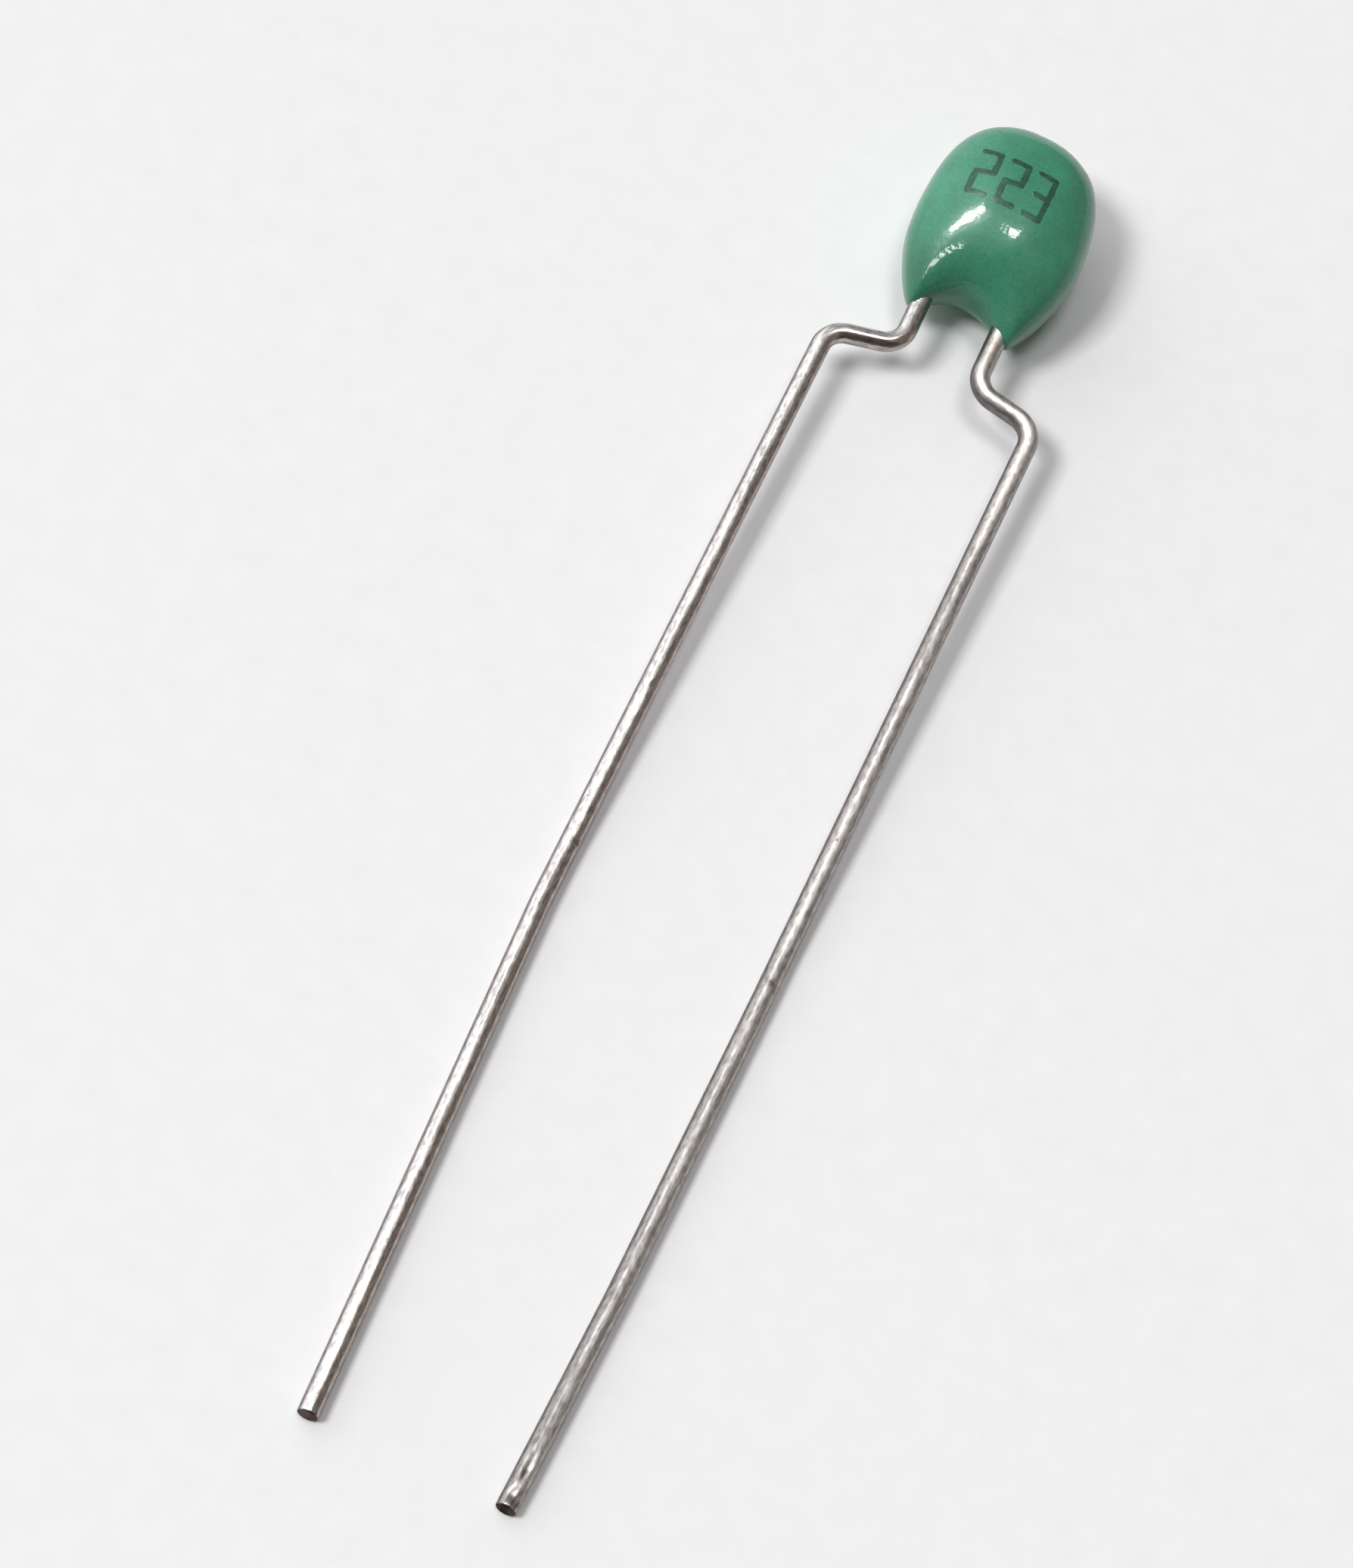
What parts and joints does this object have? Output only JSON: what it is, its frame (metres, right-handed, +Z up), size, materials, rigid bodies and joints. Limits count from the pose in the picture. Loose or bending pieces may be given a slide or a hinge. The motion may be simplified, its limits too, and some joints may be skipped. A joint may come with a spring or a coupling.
{
  "type": "ceramic disc capacitor",
  "caption": "Small ceramic disc capacitor: oval dipped resin body with legs drawn down kinked tinned wire leads, for through-hole boards",
  "frame": {"origin": "middle of the bottom of the part's box, as it lies at rest on a surface", "axes": "+Y along the part to the crown of the body, with the leads toward -Y; +Z up, out of the printed face"},
  "size_m": [0.0058, 0.0348, 0.0028],
  "materials": {
    "resin": "gloss",
    "ceramic": "matte",
    "silver": "satin",
    "solder": "satin",
    "tinned_wire": "satin"
  },
  "bodies": {
    "root": {"resin_coating": "resin", "ceramic_disc": "ceramic", "front_electrode": "silver", "back_electrode": "silver", "front_solder": "solder", "back_solder": "solder", "left_lead": "tinned_wire", "right_lead": "tinned_wire"}
  },
  "joints": []
}
